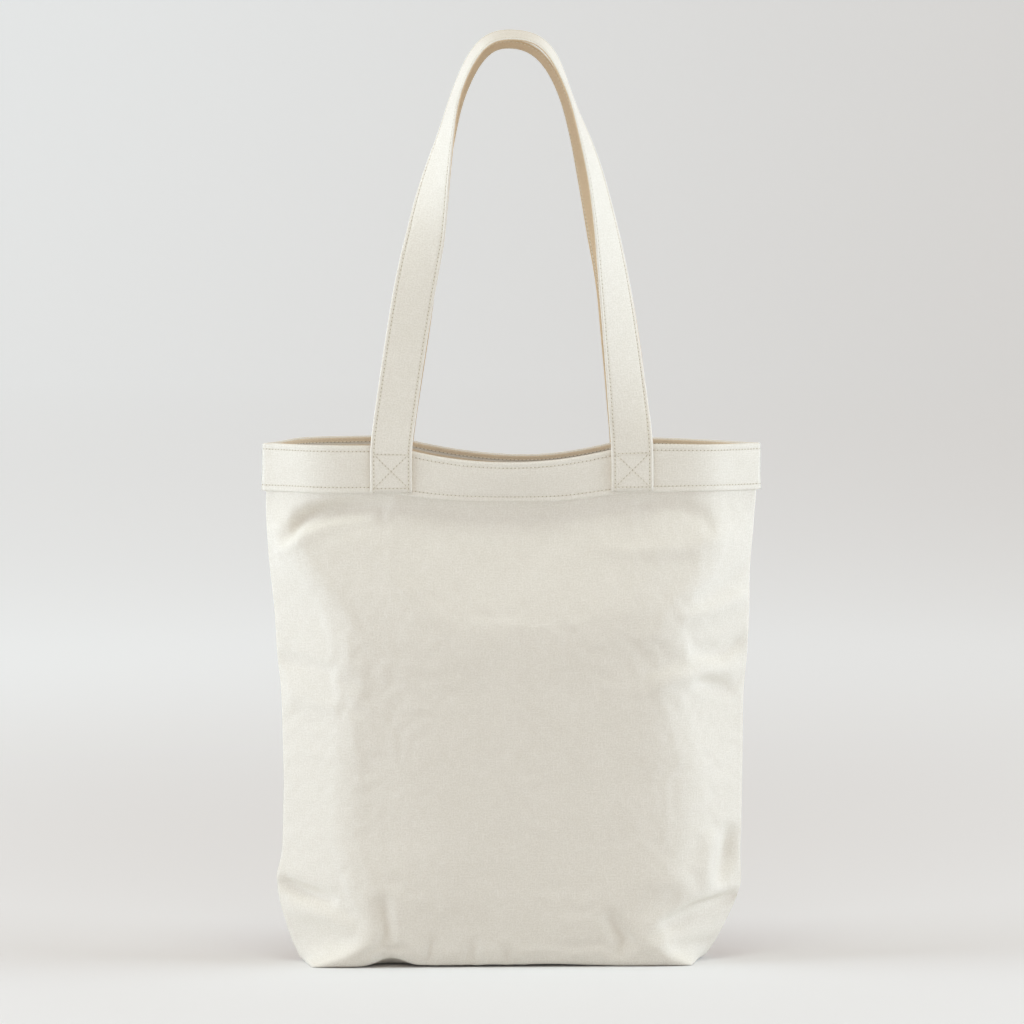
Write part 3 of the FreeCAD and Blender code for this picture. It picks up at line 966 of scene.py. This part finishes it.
def needle_shade_row(g, distance, along):
    """How much painted shade a stitched line gets, by the distance from it and the way along it in
    millimetres.

    The shade of the dent it lies in and of the needle hole between one stitch and the next is painted into
    the colour.
    """
    turn = math.tau / (STITCH_PITCH / MM)
    # Painted shade of each needle hole, times the painted shade of the dent along the row.
    hole = g.spread(g.math("COSINE", g.times(along, turn)), 0.2, 0.9, 0.3, 1.0)
    return g.times(g.spread(g.math("ABSOLUTE", distance), 0.62, 0.15), hole)


def woven(name, light, dark, pitch=0.72, slub=1.0, stitch_shading=None):
    """Plain woven cotton: yarns that waver, thick and thin places, uneven tone, a few seed flecks, and
    painted shade in the crevices between the yarns.

    The function passed in for the stitches gives how much painted shade their dents and needle holes get
    at each place.
    """
    g = Graph(name)
    g.coordinates()
    shift = g.times(g.noise(g.place(0.09, 0.09), 1.0), 1.6)
    turn = math.pi / pitch
    across, along = (
        g.math("ABSOLUTE", g.math("SINE", g.times(g.plus(way, shift), turn))) for way in (g.u, g.v)
    )
    weave = g.math("POWER", g.times(across, along), 0.55)
    thick_weft = g.noise(g.place(0.13, 1.3, 5.0))
    thick_warp = g.noise(g.place(1.3, 0.11, 9.0))
    slubs = g.spread(g.math("MAXIMUM", thick_weft, thick_warp), 0.5, 0.74)
    grain = g.noise(g.place(0.8, 0.8, 2.0), 3.0, 0.65)
    patches = g.noise(g.place(0.035, 0.035, 7.0))
    # The weave term makes the crevices between the yarns darker: painted shade.
    tone = g.plus(g.times(grain, 0.86), g.times(patches, 0.14), g.times(slubs, 0.16 * slub),
                  g.times(weave, 0.14))
    colour = g.blend(g.spread(tone, 0.34, 0.86), dark, light)
    seeds = g.spread(g.noise(g.place(0.55, 0.42, 13.0), 3.0, 0.6), 0.765, 0.80)
    colour = g.blend(g.times(seeds, 0.45), colour, FLECK)
    # Painted shade of the stitch dents and needle holes, in the colour NEEDLE_SHADE.
    if stitch_shading is not None:
        colour = g.blend(stitch_shading(g), colour, NEEDLE_SHADE)
    height = g.plus(g.times(weave, 0.5), g.times(slubs, 0.5 * slub), g.times(grain, 0.35))
    return g.shaded({
        "Base Color": colour, "Roughness": g.spread(weave, 0.0, 1.0, 0.96, 0.84),
        "Normal": g.bump(height, 0.55, 0.16),
        "Sheen Weight": 0.12, "Sheen Roughness": 0.5, "Specular IOR Level": 0.25,
    })


def spun(name, light, dark):
    """Twisted sewing thread: slanting plies, darker between them as painted shade, with a soft shine."""
    g = Graph(name)
    g.coordinates()
    slant = g.plus(g.times(g.u, 7.0), g.times(g.v, 5.0))
    plies = g.spread(g.math("SINE", slant), -1.0, 1.0)
    fuzz = g.noise(g.place(2.0, 2.0))
    # The plies' light and dark stripes stand for the shade in the grooves between them: painted shade.
    tone = g.plus(g.times(plies, 0.6), g.times(fuzz, 0.4))
    return g.shaded({
        "Base Color": g.blend(tone, dark, light), "Roughness": g.spread(fuzz, 0.2, 0.8, 0.55, 0.75),
        "Normal": g.bump(tone, 0.4, 0.08), "Sheen Weight": 0.1,
    })


WALL_GLOW = 0.46
FLECK = (0.46, 0.37, 0.25, 1)
# Colour of the painted shade in stitch dents and needle holes.
NEEDLE_SHADE = (0.45, 0.39, 0.29, 1)


def studio_paper():
    """Seamless paper; its wall glows a little with painted light, more to the left, as if lit from outside
    the set.
    """
    g = Graph("studio_paper")
    place = g.node("NewGeometry").outputs["Position"]
    cloudy = g.node("TexNoise", place)
    cloudy.inputs["Scale"].default_value = 0.9
    tone = g.blend(cloudy.outputs["Fac"], (0.785, 0.785, 0.785, 1), (0.80, 0.80, 0.80, 1))
    split = g.node("SeparateXYZ", place)
    away = g.node("VectorMath", place, operation="LENGTH").outputs["Value"]
    wall = g.spread(away, 0.3, 2.6)
    from_left = g.spread(split.outputs[0], -1.6, 1.8, 1.0, 0.64)
    fade = g.spread(split.outputs[2], 0.3, 3.0, 1.0, 0.85)
    # The wall's glow is painted light, stronger to the left and fading upward.
    glow = g.times(g.times(wall, from_left), g.times(fade, WALL_GLOW))
    return g.shaded({
        "Base Color": tone, "Roughness": 0.9, "Specular IOR Level": 0.1,
        "Emission Color": (0.74, 0.91, 1.0, 1), "Emission Strength": glow,
    })


def hem_row_shade(g):
    """Painted shade of the two stitched rows of the band, as they lie on its outer and its inner skin."""
    levels = (UPPER_ROW / MM, LOWER_ROW / MM)
    return g.most([
        needle_shade_row(g, g.minus(g.v, way), g.u)
        for way, (_, drop) in zip(travelled(BAND_PROFILE), BAND_PROFILE)
        if any(math.isclose(drop, level) for level in levels)
    ])


def strap_row_shade(g, length):
    """Painted shade of the rows along both edges on both faces, and of the box with its cross on the outer
    face at each end.
    """
    section = np.array(strap_profile()) / MM
    ways = travelled(section)
    edge = (STRAP_WIDTH / 2 - EDGE_INSET) / MM
    turn = int(np.argmax(section[:, 0])) + 1
    outer = [np.interp(x, section[:turn, 0], ways[:turn]) for x in (-edge, edge)]
    inner = [np.interp(-x, -section[turn:, 0], ways[turn:]) for x in (-edge, edge)]
    rows = [needle_shade_row(g, g.minus(g.u, way), g.v) for way in outer + inner]
    x = g.minus(g.u, (outer[0] + outer[1]) / 2)
    z = g.math("PINGPONG", g.v, length / 2 / MM)
    low, high = (level / MM for level in (BOX_LOW, BOX_HIGH))
    box = [needle_shade_row(g, g.minus(z, level), g.math("ADD", x, 1.5)) for level in (low, high)]
    slope = (high - low) / (2 * edge)
    stretch = math.hypot(1, slope)
    over = g.minus(z, (low + high) / 2)
    for way in (-1, 1):
        off_line = g.math("DIVIDE", g.minus(over, g.times(x, way * slope)), stretch)
        line = needle_shade_row(g, off_line, g.times(x, stretch))
        box.append(g.times(line, g.spread(z, high + 0.3, high - 0.3)))
    within = g.spread(g.math("ABSOLUTE", x), edge + 0.3, edge - 0.3)
    return g.most(rows + [g.times(g.most(box), within)])


def strap_materials(side, length):
    """Outer and inner cloth of one handle, each with painted stitch shade along the stitches of its own
    length; the inner cloth's darker, warmer colour is painted shade and warm bounce light.
    """
    # The inside colours are the same canvas, darker and warmer as painted shade and warm bounce light.
    looks = {"strap": ((0.84, 0.805, 0.735, 1), (0.71, 0.67, 0.59, 1)),
             "strap_inside": ((0.72, 0.57, 0.39, 1), (0.61, 0.46, 0.29, 1))}
    return [woven(f"{side}_{name}", light, dark, pitch=0.68, stitch_shading=lambda g: strap_row_shade(g, length))
            for name, (light, dark) in looks.items()]


NATURAL = ((0.835, 0.80, 0.73, 1), (0.71, 0.67, 0.59, 1))
# The warm inside colours here, for the inner faces of the panels and the band, are the same canvas as the
# outside, darker and warmer as painted shade and warm bounce light.
WARM_INSIDE_SHADE = ((0.86, 0.74, 0.57, 1), (0.76, 0.63, 0.46, 1))
CANVAS = woven("canvas", *NATURAL)
SHADED_INSIDE_CANVAS = woven("canvas_inside", (0.74, 0.65, 0.52, 1), (0.62, 0.52, 0.39, 1))
HEM = woven("hem_canvas", *NATURAL, pitch=0.70, stitch_shading=hem_row_shade)
HEM_IN = woven("hem_canvas_inside", *WARM_INSIDE_SHADE, pitch=0.70, stitch_shading=hem_row_shade)
BINDING = woven("seam_binding", (0.74, 0.68, 0.57, 1), (0.62, 0.54, 0.42, 1), pitch=0.6, slub=0.4)
THREAD_LOOK = spun("thread", (0.86, 0.83, 0.75, 1), (0.66, 0.60, 0.49, 1))


# --- assembly

points, number, base, faces, corners = settled_shell()
SEAM_LINES = {"left": points[number["front"][:, 0]], "right": points[number["front"][:, AROUND]]}


def fit_out(piece, nodes):
    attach(piece, "bag")
    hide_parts(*nodes)
    return piece


for side in SIDES:
    panel = panel_object(side, points, faces[side], corners[side])
    fit_out(panel, [f"{side}_panel"])
    collar = Collar(side, points[number[side]])
    hem = fit_out(hem_band(side, collar), [f"{side}_hem_band"])
    for row, drop, outs in (("upper", UPPER_ROW, (0.62, -1.62)), ("lower", LOWER_ROW, (1.12, -2.02))):
        fit_out(hem_stitches(side, collar, row, drop, outs), [f"{side}_{row}_hem_stitching"])
    frames = strap_frames(side)
    strap = strap_object(side, frames)
    rows = strap_stitches(side, frames)
    for piece, slot in ((strap, "webbing"), (rows, "thread")):
        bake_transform(piece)
    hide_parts(f"{side}_handle", f"{side}_left_strap_end", f"{side}_right_strap_end")
    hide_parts(f"{side}_handle_stitching")
    for hand in HANDS:
        fit_out(box_stitches(side, hand), [f"{side}_{hand}_box_stitching"])

# The seams inside: each side seam, the seam across each boxed corner, and the one along the bottom.
ON_BASE = UP * (CLOTH + 1.1 * MM)
for hand, sign in HANDS.items():
    line = SEAM_LINES[hand]
    line = line[(line[:, 2] > 0.012) & (line[:, 2] < HEIGHT - 0.034)]
    tip = np.exp(-((line[:, 2] / MM - 58) / 18) ** 2)
    line = line - np.outer((2.6 + 5.0 * tip) * MM * sign, RIGHT)
    inward = RIGHT * -sign
    fit_out(seam_strip(f"{hand}_side_binding", line, inward, BACK), [f"{hand}_side_seam"])
    fit_out(overlock(f"{hand}_side_overlock", line, inward, BACK), [])
    across = points[base[4:17, 0 if sign < 0 else -1]] + inward * 5 * MM + ON_BASE
    fit_out(seam_strip(f"{hand}_corner_binding", across, inward, UP), [f"{hand}_corner_seam"])
middle = points[base[GUSSET, 5:-5]] - BACK * 4 * MM + ON_BASE
fit_out(seam_strip("bottom_binding", middle, BACK, UP), ["bottom_seam"])


# --- floor, light and camera

def studio_floor():
    """A round floor that sweeps up into a low wall all round, so every side view is seamless."""
    flat, sweep, turns = 7.0, 2.6, 96
    profile = [(r, 0.0) for r in (0.8, 1.6, 3.0, 5.0, flat)]
    for a in np.linspace(0.08, 1.45, 18):
        profile.append((flat + sweep * math.sin(a), sweep * (1 - math.cos(a))))
    around = [math.tau * i / turns for i in range(turns)]
    points = [(r * math.cos(a), r * math.sin(a), z) for r, z in profile for a in around]
    faces = [face[::-1] for face in swept_faces(len(profile), turns)[:-1]]
    floor = mesh_object("studio_floor", points, faces, [studio_paper()])


def soft_light(name, place, aim, size, power, colour):
    light = bpy.data.lights.new(name, "AREA")
    light.shape = "RECTANGLE"
    light.size, light.size_y = size
    light.energy = power
    light.color = colour
    item = linked(name, light)
    item.location = place
    item.rotation_euler = (Vector(aim) - Vector(place)).to_track_quat("-Z", "Y").to_euler()


studio_floor()
CENTRE = (0.0, 0.0, 0.3)
soft_light("left_light", (-2.3, -0.35, 0.95), CENTRE, (1.3, 1.7), 38.5, (0.75, 0.88, 1.0))
soft_light("right_light", (2.3, -0.35, 0.95), CENTRE, (1.3, 1.7), 39.5, (0.73, 0.87, 1.0))
soft_light("top_light", (0.0, -0.9, 3.2), (0, 0, 0.2), (1.6, 1.2), 27.5, (0.86, 1.0, 0.96))

world = bpy.data.worlds.new("studio")
world.use_nodes = True
background = world.node_tree.nodes["Background"]
background.inputs[0].default_value = (0.80, 0.62, 0.50, 1)
background.inputs[1].default_value = 0.60
bpy.context.scene.world = world
bpy.context.scene.view_settings.view_transform = "Standard"

camera = bpy.data.cameras.new("camera")
camera.sensor_width = 36.0
camera.lens = 252.5
viewer = linked("camera", camera)
viewer.location = (0.0, -5.5, 0.803)
viewer.rotation_euler = (math.pi / 2 - 0.0828, 0.0, 0.0)
viewer.rotation_euler.rotate_axis("Z", -0.006)
bpy.context.scene.camera = viewer
